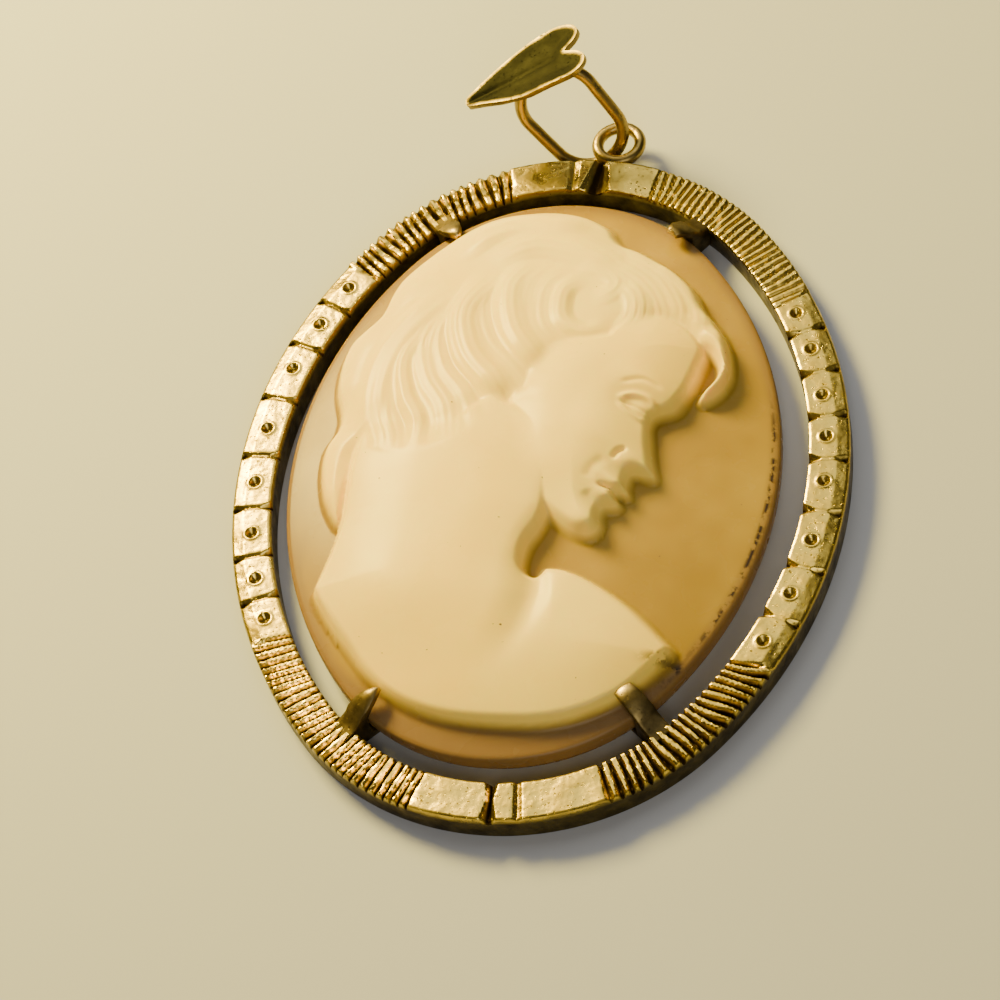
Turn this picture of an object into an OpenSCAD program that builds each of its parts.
// Shell cameo pendant: a carved oval shell held by four claws in an engraved gilt frame,
// with a soldered ring at the top and a leaf-faced bail that hangs in that ring.

/* [Cameo] */
// Width of the shell, side to side
cameo_w = 30; // [27:0.5:32]
// Length of the shell, foot to top
cameo_l = 40; // [37:0.5:43]
// Radius of the round ends as a share of the half width
end_round = 0.81; // [0.74:0.01:0.86]
// Thickness of the shell at its rim
rim_t = 1.3; // [1:0.1:1.8]
// Width of the bevel along the rim's edges
rim_bevel = 0.3; // [0.1:0.05:0.4]
// Rise of the ground from the rim to the middle
dome_rise = 2; // [1.4:0.1:2.6]
// Depth of the hollow in the back at the middle
back_hollow = 1.6; // [0.5:0.1:1.9]
// Height of the carved back and shoulders above the ground
body_h = 1.3; // [0.8:0.1:1.8]
// Height of the carved face above the ground
face_h = 1.6; // [1:0.1:2]
// Height of the carved hair above the ground, between its locks
hair_h = 1.6; // [1:0.1:2]
// Height of a lock above the hair around it
lock_h = 0.5; // [0.2:0.05:0.7]
// Height of the carved head from the chin to the crown
head_h = 19; // [17:0.5:20]
// Forward tilt of the carved head
head_tilt = 24; // [14:1:26]
// How far the shell sits off the frame's middle, towards the left
cameo_off = 0.3; // [0:0.05:0.5]

/* [Frame] */
// Gap between the shell's rim and the band
gap = 1.3; // [1:0.05:1.7]
// Width of the band, seen from the front
band_w = 2.45; // [2:0.05:3]
// Height of the band above the surface it lies on
band_h = 2; // [1.8:0.05:2.6]
// Bevel along the band's front edges
band_bevel = 0.15; // [0.05:0.05:0.3]
// Number of dotted tablets along each side
tablets = 8; // [5:1:9]
// Length of one tablet along the middle of the band
tablet_l = 3.4; // [2.6:0.1:3.6]
// Length of the wedge notches between tablets, across the band
notch_l = 0.9; // [0.5:0.05:1.1]
// Depth of the wedge notches at the band's edge
notch_d = 0.5; // [0.2:0.05:0.7]
// Radius of the punched dots
dot_r = 0.35; // [0.2:0.05:0.5]
// Depth of the punched dots
dot_d = 0.3; // [0.1:0.05:0.5]

/* [Claws] */
// Width of a claw
claw_w = 1.35; // [1:0.05:1.8]
// Thickness of a claw
claw_t = 0.5; // [0.35:0.05:0.6]
// How far a claw reaches over the shell's rim
claw_over = 1.5; // [1:0.1:2]
// Height of a claw's tip above the rim's edge, on its underside
claw_rise = 0.85; // [0.6:0.05:1.2]
// How far a claw's seat reaches under the shell
claw_under = 1; // [0.6:0.1:1.5]
// Height of the seats above the surface
seat_z = 0.75; // [0.6:0.05:1]

/* [Ring and bail] */
// Radius of the ring's wire
ring_wire = 0.38; // [0.34:0.02:0.4]
// Radius of the ring to the middle of its wire
ring_r = 1.37; // [1.33:0.02:1.5]
// How far the ring sits right of the frame's middle
ring_x = 2.4; // [0:0.1:3]
// Radius of the bail's wire
bail_wire = 0.4; // [0.3:0.02:0.42]
// How far round the ring, down its left side towards the frame, the bail hangs
bail_place = 10; // [4:1:14]
// Turn of the bail about the vertical as it lies
bail_turn = 10; // [6:1:14]
// Tilt of the bail away from the frame as it lies
bail_tilt = 20; // [14:1:24]
// Radius of the bail's foot, round the ring's wire
bail_foot_r = 2.3; // [2.2:0.05:2.4]
// Radius of the bail's head
bail_head_r = 2.45; // [2.1:0.05:2.8]
// Height of the foot's middle above the ring's wire
foot_rise = 1.2; // [1.15:0.05:1.25]
// Distance of the foot's middle to the left of the ring's wire
foot_side = 0.5; // [0.4:0.05:0.6]
// Height of the head's middle above the ring's wire
head_rise = 3.7; // [3.3:0.05:4.5]
// Distance of the head's middle to the left of the ring's wire
head_side = 1.85; // [1:0.05:2]
// Length of the leaf on the bail
leaf_l = 8.5; // [7:0.1:9.5]
// Width of the leaf on the bail
leaf_w = 4.3; // [3.6:0.1:5]
// Thickness of the leaf
leaf_t = 0.5; // [0.4:0.05:0.7]
// Slope of the leaf, down towards its tip
leaf_slope = 21; // [5:1:24]
// Roll of the leaf about its length, its far edge up
leaf_roll = 20; // [0:1:24]

/* [Hidden] */
// Smoothness of round walls
$fn = 96;
// Clearance between a claw or its seat and the shell
clear = 0.1;
// How deep soldered parts run into each other
solder = 0.15;
// Half sizes of the shell and of the frame's outer edge
cameo_a = cameo_w / 2;
cameo_b = cameo_l / 2;
frame_b = cameo_b + gap + band_w;
// Radii and centres of the shell's four arcs, which the frame's arcs share
end_r = end_round * cameo_a;
side_r = (pow(cameo_b - end_r, 2) + pow(cameo_a, 2) - pow(end_r, 2)) / (2 * (cameo_a - end_r));
end_y = cameo_b - end_r;
side_x = side_r - cameo_a;
side_span = atan2(end_y, side_x);
// Heights of the shell's rim
rim_low = seat_z + clear;
rim_top = rim_low + rim_t;
// Middle of each side's row of tablets, as a share of a tablet along the band
right_row = -0.1;
left_row = 0.4;
// Overshoot of cutting tools
over = 0.5;
// How far the bail's straight wire laps over its bends, and how much thicker it is there
lap = 0.06;
lap_more = 0.01;
// Height of the ring's middle, flush with the band's front
ring_z = band_h - ring_wire;
ring_y = end_y + sqrt(pow(end_r + gap + band_w, 2) - pow(ring_x, 2)) + ring_r + ring_wire - solder;
bail_foot = [ring_x - ring_r * cos(bail_place), ring_y - ring_r * sin(bail_place), ring_z];

// Claws: side (-1 left, 1 right), end (-1 foot, 1 top), angle off the frame's long axis, turn off
// the radius, share of the reach over the rim
claws = [
    [-1,  1, 36,  0, 0.8],
    [ 1,  1, 39,  0, 0.6],
    [-1, -1, 41, -6, 1],
    [ 1, -1, 43,  4, 1]
];

// Carved outlines: shares of the shell's half width and half length
hair_edge = [
    [0.65, 0.19], [0.75, 0.25], [0.78, 0.36], [0.73, 0.475], [0.62, 0.605], [0.46, 0.73],
    [0.26, 0.82], [0.12, 0.91], [-0.1, 0.92], [-0.36, 0.87], [-0.58, 0.76], [-0.69, 0.63],
    [-0.72, 0.53], [-0.83, 0.43], [-0.86, 0.3], [-0.81, 0.13], [-0.86, 0.04], [-0.85, -0.12],
    [-0.73, -0.265], [-0.69, -0.16], [-0.66, -0.03], [-0.45, -0.06], [-0.26, -0.04],
    [-0.1, 0.09], [0.06, 0.12], [0.1, 0.26], [0.3, 0.32], [0.42, 0.41], [0.55, 0.43],
    [0.64, 0.37], [0.6, 0.25]
];
body_edge = [
    [-0.74, -0.25], [-0.76, -0.37], [-0.81, -0.49], [-0.62, -0.7], [-0.42, -0.84], [-0.15, -0.91],
    [0.14, -0.92], [0.43, -0.86], [0.64, -0.75], [0.72, -0.66], [0.6, -0.595], [0.4, -0.48],
    [0.22, -0.415], [0.12, -0.41], [0.075, -0.34], [0.1, -0.25], [0.05, -0.02], [-0.3, 0.08],
    [-0.62, 0.04], [-0.71, -0.1]
];
// Carved face: shares of the head's height, forward of the ear and above the chin
face_edge = [
    [0.28, 0.78], [0.33, 0.64], [0.334, 0.53], [0.298, 0.475], [0.347, 0.39], [0.414, 0.3],
    [0.39, 0.268], [0.337, 0.253], [0.358, 0.2], [0.336, 0.174], [0.351, 0.145], [0.318, 0.11],
    [0.339, 0.05], [0.305, 0], [0.23, -0.01], [0.12, 0.02], [-0.1, -0.02], [-0.3, 0.2],
    [-0.25, 0.6], [0.05, 0.85]
];
// Place of the ear's line at the chin's height
head_at = [-0.065, -0.206];
// Locks of hair: start, bend and end in the same shares, and half width in mm
locks = [
    [[-0.73, 0.12], [-0.8, -0.04], [-0.75, -0.22], 1.6],
    [[-0.63, 0.6], [-0.8, 0.33], [-0.61, 0.04], 2.6],
    [[-0.43, 0.72], [-0.64, 0.4], [-0.43, 0.05], 1.7],
    [[-0.23, 0.72], [-0.44, 0.4], [-0.25, 0.04], 1.6],
    [[-0.05, 0.65], [-0.26, 0.4], [-0.08, 0.15], 1.5],
    [[0.1, 0.6], [-0.1, 0.42], [0.04, 0.2], 1.4],
    [[-0.53, 0.77], [-0.07, 0.93], [0.33, 0.74], 2],
    [[-0.27, 0.75], [0.1, 0.83], [0.43, 0.62], 1.7],
    [[0.23, 0.7], [0.55, 0.65], [0.57, 0.47], 1.5],
    [[0.24, 0.6], [0.45, 0.59], [0.48, 0.46], 1.3],
    [[0.59, 0.5], [0.8, 0.43], [0.68, 0.23], 1.4],
    [[0.05, 0.52], [0.21, 0.32], [0.35, 0.41], 1.5]
];
// Leaf outline: share of its length from the tip, share of its half width
leaf_edge = [
    [0, 0], [0.02, 0.16], [0.12, 0.34], [0.3, 0.62], [0.5, 0.86], [0.7, 1], [0.86, 0.98], [0.97, 0.78],
    [1, 0.48], [0.95, 0.2], [0.86, 0]
];
// Where the notch between the leaf's lobes lies, to the right of the head's middle
leaf_notch = 2.2;
// Cells across the shell's front, and rings of its back as shares of the way in
cells = 60;
back_rings = [0.72, 0.4];
// Width of the steep step at a carved edge, and its share of the height
step_run = 1.1;
step_share = 0.5;
// Widths over which the carving rises at its edges
carve_run = 3;
body_run = 4.5;
face_run = 3.4;
// Bare margin inside the rim, and the width over which the carving reaches its height
margin = 0.8;
margin_run = 1.9;

// Distance from the middle to the shell's outline, drawn in by inset, in the direction a
function oval_reach(a, inset) =
    let (c = abs(cos(a)), s = abs(sin(a)),
         er = end_r - inset, sr = side_r - inset,
         jx = er * cos(side_span), jy = end_y + er * sin(side_span))
    (s * jx > c * jy)
        ? s * end_y + sqrt(pow(s * end_y, 2) - pow(end_y, 2) + pow(er, 2))
        : -c * side_x + sqrt(pow(c * side_x, 2) - pow(side_x, 2) + pow(sr, 2));

function oval_point(a, inset, share, z) =
    [share * oval_reach(a, inset) * cos(a), share * oval_reach(a, inset) * sin(a), z];

// Corners of a square grid carried onto the round: angle and share of the way out
function grid_polar(u, v) =
    (abs(u) < 0.0001 && abs(v) < 0.0001) ? [0, 0]
        : (abs(u) > abs(v)) ? [45 * v / u + (u < 0 ? 180 : 0), abs(u)]
        : [90 - 45 * u / v + (v < 0 ? 180 : 0), abs(v)];

// A closed curve through the points p
function mixed(a, b, c, d, t) =
    0.5 * ((2 * b) + (c - a) * t + (2 * a - 5 * b + 4 * c - d) * t * t + (3 * b - a - 3 * c + d) * t * t * t);
function closed_curve(p, parts) =
    [for (i = [0:len(p) - 1], k = [0:parts - 1])
        mixed(p[(i + len(p) - 1) % len(p)], p[i], p[(i + 1) % len(p)], p[(i + 2) % len(p)], k / parts)];

// Distance from q to the segment ab
function segment_gap(q, a, b) =
    let (t = max(0, min(1, ((q - a) * (b - a)) / ((b - a) * (b - a)))))
    norm(q - a - t * (b - a));
function crosses(q, a, b) =
    ((a.y > q.y) != (b.y > q.y)) && (q.x < a.x + (b.x - a.x) * (q.y - a.y) / (b.y - a.y)) ? 1 : 0;
function total(v, i = 0, s = 0) = i == len(v) ? s : total(v, i + 1, s + v[i]);
// How far q lies inside the outline p, or 0 outside it
function inside(q, p) =
    (total([for (i = [0:len(p) - 1]) crosses(q, p[i], p[(i + 1) % len(p)])]) % 2 == 0) ? 0
        : min([for (i = [0:len(p) - 1]) segment_gap(q, p[i], p[(i + 1) % len(p)])]);
function smooth(t) = let (c = max(0, min(1, t))) c * c * (3 - 2 * c);
// A rise with a steep step at the edge that is level after the run
function swell(d, run, h) =
    h * (step_share * smooth(d / step_run) + (1 - step_share) * (1 - pow(1 - min(1, d / run), 2)));

function on_shell(p) = [p.x * cameo_a, p.y * cameo_b];
function on_head(p) =
    on_shell(head_at) + head_h * [p.x * cos(head_tilt) + p.y * sin(head_tilt),
                                  p.y * cos(head_tilt) - p.x * sin(head_tilt)];

hair_line = closed_curve([for (p = hair_edge) on_shell(p)], 2);
body_line = closed_curve([for (p = body_edge) on_shell(p)], 2);
face_line = [for (p = face_edge) on_head(p)];
lock_lines = [for (l = locks)
    [for (k = [0:4]) let (t = k / 4, a = on_shell(l[0]), b = on_shell(l[1]), c = on_shell(l[2]))
        (1 - t) * (1 - t) * a + 2 * t * (1 - t) * b + t * t * c]];

function lock_rise(q) =
    max([for (i = [0:len(locks) - 1])
        let (d = min([for (k = [0:3]) segment_gap(q, lock_lines[i][k], lock_lines[i][k + 1])]))
        max(0, 1 - pow(d / locks[i][3], 2))]);
function carving(q, rim_gap) =
    let (hair = inside(q, hair_line))
    smooth((rim_gap - margin) / margin_run) *
        max(swell(inside(q, body_line), body_run, body_h),
            swell(inside(q, face_line), face_run, face_h),
            hair > 0 ? swell(hair, carve_run, hair_h + lock_h * lock_rise(q)) : 0);

function front_point(u, v) =
    let (g = grid_polar(u, v),
         reach = oval_reach(g[0], rim_bevel),
         q = g[1] * reach * [cos(g[0]), sin(g[0])])
    [q.x, q.y, rim_top + dome_rise * (1 - g[1] * g[1]) + (g[1] > 0.98 ? 0 : carving(q, (1 - g[1]) * reach))];

// Corners of the grid's border in order, counter-clockwise
function border(n) = concat(
    [for (j = [0:n - 1]) [n, j]], [for (i = [n:-1:1]) [i, n]],
    [for (j = [n:-1:1]) [0, j]], [for (i = [0:n - 1]) [i, 0]]);
function border_angle(c) = grid_polar(2 * c[0] / cells - 1, 2 * c[1] / cells - 1)[0];

module shell_solid() {
    edge = border(cells);
    n = len(edge);
    front = [for (i = [0:cells], j = [0:cells]) front_point(2 * i / cells - 1, 2 * j / cells - 1)];
    side_rings = concat(
        [for (c = edge) oval_point(border_angle(c), 0, 1, rim_top - rim_bevel)],
        [for (c = edge) oval_point(border_angle(c), 0, 1, rim_low + rim_bevel)],
        [for (c = edge) oval_point(border_angle(c), rim_bevel, 1, rim_low)],
        [for (r = back_rings, c = edge)
            oval_point(border_angle(c), rim_bevel, r, rim_low + back_hollow * (1 - r * r))],
        [[0, 0, rim_low + back_hollow]]);
    first = len(front);
    rings = 3 + len(back_rings);
    front_ring = [for (c = edge) c[0] * (cells + 1) + c[1]];
    function ring_index(r, k) = r == 0 ? front_ring[k % n] : first + (r - 1) * n + k % n;
    faces = concat(
        [for (i = [0:cells - 1], j = [0:cells - 1], half = [0, 1])
            let (a = i * (cells + 1) + j, b = a + cells + 1,
                 level = abs(front[a].z - front[b + 1].z) < abs(front[a + 1].z - front[b].z))
            level ? (half == 0 ? [a, a + 1, b + 1] : [a, b + 1, b])
                : (half == 0 ? [a, a + 1, b] : [a + 1, b + 1, b])],
        [for (r = [0:rings - 1], k = [0:n - 1], half = [0, 1])
            half == 0 ? [ring_index(r, k), ring_index(r + 1, k + 1), ring_index(r + 1, k)]
                : [ring_index(r, k), ring_index(r, k + 1), ring_index(r + 1, k + 1)]],
        [for (k = [0:n - 1]) [ring_index(rings, k), ring_index(rings, k + 1), first + rings * n]]);
    polyhedron(concat(front, side_rings), faces);
}

// Sweeps a profile round the four arcs; its x is the distance outside the shell's outline
module oval_sweep() {
    for (end = [0, 180])
        rotate(end) {
            translate([0, end_y, 0])
                rotate(side_span)
                    rotate_extrude(angle = 180 - 2 * side_span)
                        translate([end_r, 0])
                            children();
            translate([-side_x, 0, 0])
                rotate(-side_span)
                    rotate_extrude(angle = 2 * side_span)
                        translate([side_r, 0])
                            children();
        }
}

// A wedge that cuts from its point at the origin down to depth d at the distance l along X
module wedge(l, d) {
    reach = l + over;
    rotate([0, atan(d / l), 0])
        rotate([45, 0, 0])
            cube([reach * 2, reach, reach]);
}

// Notches at both edges of the band and a dot in each tablet, along one side
module side_engraving(row) {
    middle = side_r + gap + band_w / 2;
    pitch = tablet_l / middle * 180 / PI;
    start = (row - tablets / 2) * pitch;
    translate([-side_x, 0, band_h]) {
        for (k = [1:tablets - 1])
            rotate(start + k * pitch) {
                translate([middle + band_w / 2 - notch_l, 0, 0]) wedge(notch_l, notch_d);
                translate([middle - band_w / 2 + notch_l, 0, 0]) rotate(180) wedge(notch_l, notch_d);
            }
        for (k = [0:tablets - 1])
            rotate(start + (k + 0.5) * pitch)
                translate([middle, 0, -dot_d])
                    cylinder(r1 = dot_r / 2, r2 = dot_r * (1 + over), h = dot_d * (1 + 2 * over), $fn = 16);
    }
}

// A claw with its seat: side profile along X outwards from the shell's rim, cut to a pointed plan
module claw(reach) {
    root = gap + cameo_off + claw_t;
    tip = max(reach, claw_under);
    intersection() {
        translate([0, claw_w / 2, 0])
            rotate([90, 0, 0])
                linear_extrude(claw_w)
                    polygon([
                        [-claw_under, seat_z - claw_t], [root, seat_z - claw_t], [root, band_h - band_bevel],
                        [gap, band_h], [clear + claw_t, rim_top + clear],
                        [clear + claw_t / 2, rim_top + claw_t], [-reach / 3, rim_top + claw_rise + claw_t * 0.7],
                        [-reach, rim_top + claw_rise + claw_t * 0.6], [-reach, rim_top + claw_rise],
                        [-reach / 3, rim_top + claw_rise * 0.7], [clear, rim_top + clear],
                        [clear, seat_z], [-claw_under, seat_z]
                    ]);
        linear_extrude(rim_top + claw_rise + claw_t)
            polygon([
                [root, -claw_w / 2], [root, claw_w / 2], [-reach / 2, claw_w / 2],
                [-tip, claw_w / 6], [-tip, -claw_w / 6], [-reach / 2, -claw_w / 2]
            ]);
    }
}

// Turns the bail's own frame, with the hinge along Y at its origin, to the way it lies
function lie(p) =
    let (y = p.y * cos(bail_tilt) + p.z * sin(bail_tilt), z = p.z * cos(bail_tilt) - p.y * sin(bail_tilt))
    bail_foot + [p.x * cos(bail_turn) - y * sin(bail_turn), p.x * sin(bail_turn) + y * cos(bail_turn), z];

leaf_half = [for (p = leaf_edge)
             [leaf_l * (p.x - leaf_edge[len(leaf_edge) - 1].x) + leaf_notch, leaf_w / 2 * p.y]];
leaf_line = closed_curve(concat(leaf_half,
    [for (i = [len(leaf_half) - 2:-1:1]) [leaf_half[i].x, -leaf_half[i].y]]), 3);
// Lift of the leaf's underside above the head's middle
leaf_lift = bail_head_r + bail_wire - solder;
// Corners of the leaf's underside and top, as they lie
leaf_lie = [for (p = leaf_line, t = [0, leaf_t])
    let (y = p.y * cos(leaf_roll) - t * sin(leaf_roll),
         up = leaf_lift + p.y * sin(leaf_roll) + t * cos(leaf_roll))
    lie([-head_side + p.x * cos(leaf_slope) - up * sin(leaf_slope), y,
         head_rise + p.x * sin(leaf_slope) + up * cos(leaf_slope)])];
// Moves the part so that its origin is under the middle of everything
mid_y = (frame_b - max([for (p = leaf_lie) p.y])) / 2;

module frame() {
    color("goldenrod")
        translate([0, mid_y, 0]) {
            difference() {
                oval_sweep()
                    translate([gap, 0])
                        polygon([
                            [0, 0], [band_w, 0], [band_w, band_h - band_bevel], [band_w - band_bevel, band_h],
                            [band_bevel, band_h], [0, band_h - band_bevel]
                        ]);
                side_engraving(right_row);
                mirror([1, 0, 0]) side_engraving(left_row);
            }
            for (c = claws)
                translate([-cameo_off, c[1] * end_y, 0])
                    rotate(c[1] * 90 - c[0] * c[1] * c[2])
                        translate([end_r, 0, 0])
                            rotate(c[3])
                                claw(claw_over * c[4]);
            translate([ring_x, ring_y, ring_z])
                rotate_extrude()
                    translate([ring_r, 0])
                        circle(ring_wire);
        }
}

module cameo() {
    color("wheat")
        translate([-cameo_off, mid_y, 0])
            shell_solid();
}

// The bail's wire: round the foot's arc, up to the head's arc and back
module bail_loop() {
    side = foot_side - head_side;
    rise = head_rise - foot_rise;
    far = norm([side, rise]);
    way = atan2(rise, side);
    half = acos((bail_foot_r - bail_head_r) / far);
    run = sqrt(pow(far, 2) - pow(bail_head_r - bail_foot_r, 2));
    translate([-foot_side, 0, foot_rise])
        rotate([90, 0, 0]) {
            rotate(way + half)
                rotate_extrude(angle = 360 - 2 * half)
                    translate([bail_foot_r, 0])
                        circle(bail_wire);
            translate([side, rise, 0])
                rotate(way - half)
                    rotate_extrude(angle = 2 * half)
                        translate([bail_head_r, 0])
                            circle(bail_wire);
            for (s = [-1, 1])
                rotate(way + s * half)
                    translate([bail_foot_r, 0, 0])
                        rotate([s * 90, 0, 0])
                            translate([0, 0, -lap])
                                cylinder(r = bail_wire + lap_more, h = run + 2 * lap);
        }
}

module bail_leaf() {
    translate([-head_side, 0, head_rise])
        rotate([0, -leaf_slope, 0])
            translate([0, 0, leaf_lift])
                rotate([leaf_roll, 0, 0])
                    linear_extrude(leaf_t)
                        polygon(leaf_line);
}

module bail() {
    color("darkgoldenrod")
        translate([0, mid_y, 0])
            translate(bail_foot)
                rotate([-bail_tilt, 0, bail_turn]) {
                    bail_loop();
                    bail_leaf();
                }
}

frame();
cameo();
bail();
